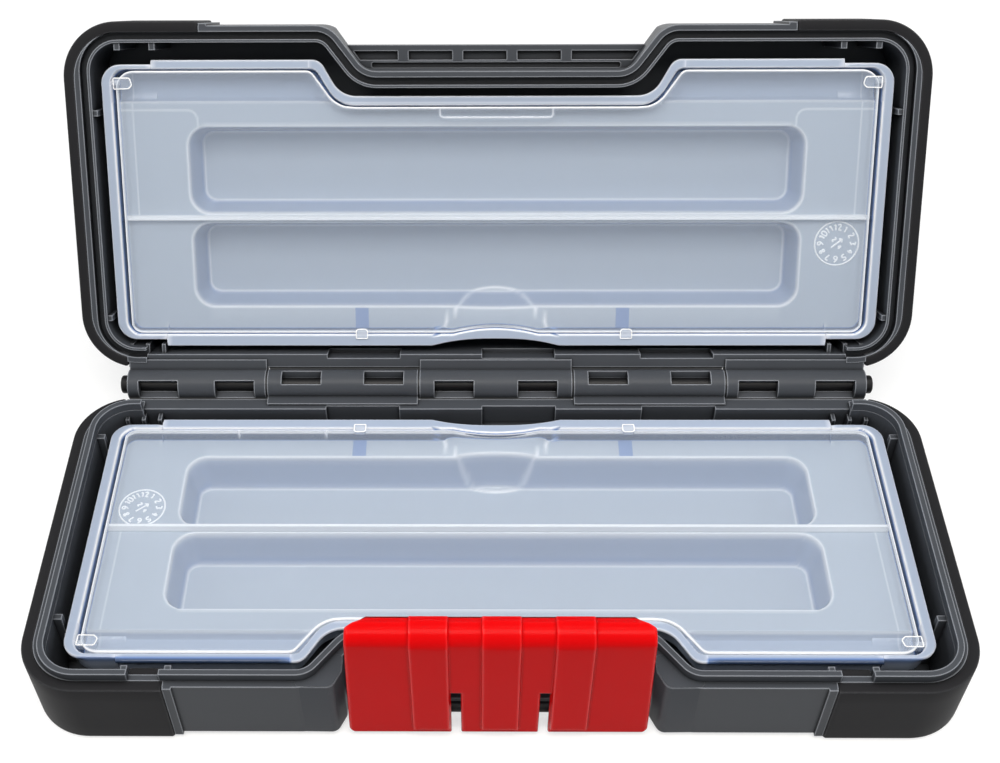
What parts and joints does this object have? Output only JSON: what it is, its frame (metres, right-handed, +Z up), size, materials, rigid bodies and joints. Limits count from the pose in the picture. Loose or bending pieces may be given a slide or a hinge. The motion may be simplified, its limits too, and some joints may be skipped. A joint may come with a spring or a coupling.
{
  "type": "tool accessory case",
  "caption": "Hard case for saw blades: two hinged shells with rubber corners and a pivoting front latch, each holding a clear lift-out cassette with its own hinged cover.",
  "frame": {"origin": "centre of the base half's footprint, on the surface the case stands on", "axes": "+X along the case to the right as seen from the latch, -Y towards the latch, +Z up"},
  "size_m": [0.2614, 0.1927, 0.1208],
  "materials": {
    "case": "fine spark-eroded grain",
    "bumper": "matt",
    "latch": "gloss",
    "pin": "semi-matt",
    "cassette": "milky translucent",
    "cover": "clear, slightly milky"
  },
  "bodies": {
    "base": {"base_shell": "case", "base_bumper_left": "bumper", "base_bumper_right": "bumper", "hinge_pin_left": "pin", "hinge_pin_right": "pin", "latch_pin": "pin"},
    "lid": {"lid_shell": "case", "lid_bumper_left": "bumper", "lid_bumper_right": "bumper"},
    "latch": {"latch": "latch"},
    "base_cassette": {"base_tray": "cassette"},
    "base_cassette_cover": {"base_cover": "cover"},
    "lid_cassette": {"lid_tray": "cassette"},
    "lid_cassette_cover": {"lid_cover": "cover"}
  },
  "joints": [
    {"name": "lid_hinge", "type": "hinge", "parent": "base", "child": "lid", "pos_m": [0, 0.0587, 0.0256], "axis": [-1, 0, 0], "range_deg": [-121.6, 0]},
    {"name": "latch_pivot", "type": "hinge", "parent": "base", "child": "latch", "pos_m": [0, -0.0466, 0.0066], "axis": [1, 0, 0], "range_deg": [-2, 85]},
    {"name": "base_tray_lift", "type": "slide", "parent": "base", "child": "base_cassette", "axis": [0, 0, 1], "range_m": [0, 0.018]},
    {"name": "base_cover_hinge", "type": "hinge", "parent": "base_cassette", "child": "base_cassette_cover", "pos_m": [0, -0.0353, 0.0206], "axis": [1, 0, 0], "range_deg": [0, 70]},
    {"name": "lid_tray_lift", "type": "slide", "parent": "lid", "child": "lid_cassette", "axis": [0, -0.8517, 0.524], "range_m": [0, 0.018]},
    {"name": "lid_cover_hinge", "type": "hinge", "parent": "lid_cassette", "child": "lid_cassette_cover", "pos_m": [0, 0.11221, 0.10304], "axis": [-1, 0, 0], "range_deg": [0, 95]}
  ]
}
